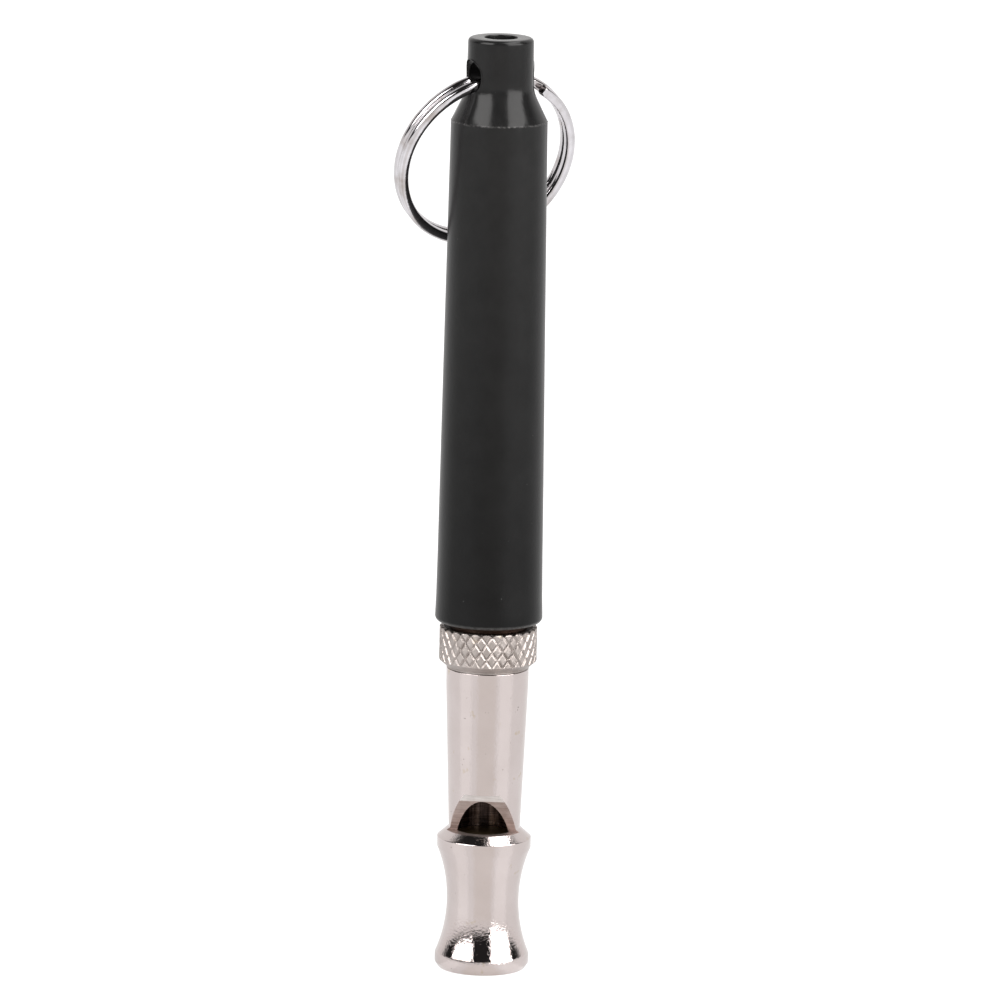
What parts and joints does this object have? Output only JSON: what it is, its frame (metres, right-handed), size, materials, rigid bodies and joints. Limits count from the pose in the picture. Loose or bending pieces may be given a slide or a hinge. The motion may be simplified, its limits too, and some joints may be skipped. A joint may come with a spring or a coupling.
{
  "type": "training whistle",
  "caption": "Adjustable dog training whistle: turned metal mouthpiece tube with a sound window, knurled lock nut, tuning screw, pull-off black cover and split ring.",
  "frame": {"origin": "centre of the mouth end's flat face, on the whistle's long axis", "axes": "+Z along the whistle from the mouth end to the neck; -Y is the side of the sound window; X completes the frame"},
  "size_m": [0.0145, 0.0122, 0.08],
  "materials": {
    "nickel_plate": "nickel-plated turned brass, polished, with faint turning marks",
    "knurled_nickel": "nickel-plated, diamond knurled",
    "bare_brass": "turned, unplated",
    "black_plastic": "satin moulded plastic, glossier on the neck",
    "ring_steel": "nickel-plated spring steel, bright"
  },
  "bodies": {
    "barrel": {"barrel": "nickel_plate", "fipple_plug": "bare_brass"},
    "lock_nut": {"lock_nut": "knurled_nickel"},
    "tuning_screw": {"tuning_screw": "bare_brass"},
    "cover": {"cover": "black_plastic"},
    "split_ring": {"split_ring": "ring_steel"}
  },
  "joints": [
    {"name": "nut_turn", "type": "hinge", "parent": "barrel", "child": "lock_nut", "pos_m": [0, 0, 0.028], "axis": [0, 0, 1], "range_deg": [-1083, 1083]},
    {"name": "screw_travel", "type": "slide", "parent": "lock_nut", "child": "tuning_screw", "axis": [0, 0, 1], "range_m": [-0.00225, 0.00225]},
    {"name": "cover_pull", "type": "slide", "parent": "lock_nut", "child": "cover", "axis": [0, 0, 1], "range_m": [0, 0.03]},
    {"name": "ring_swing", "type": "hinge", "parent": "cover", "child": "split_ring", "pos_m": [0, 0, 0.07645], "axis": [0.8572, 0.515, 0], "range_deg": [0, 316]}
  ],
  "couplings": [
    {"joint": "nut_turn", "follows": "screw_travel", "rad_per_m": 8377.6}
  ]
}
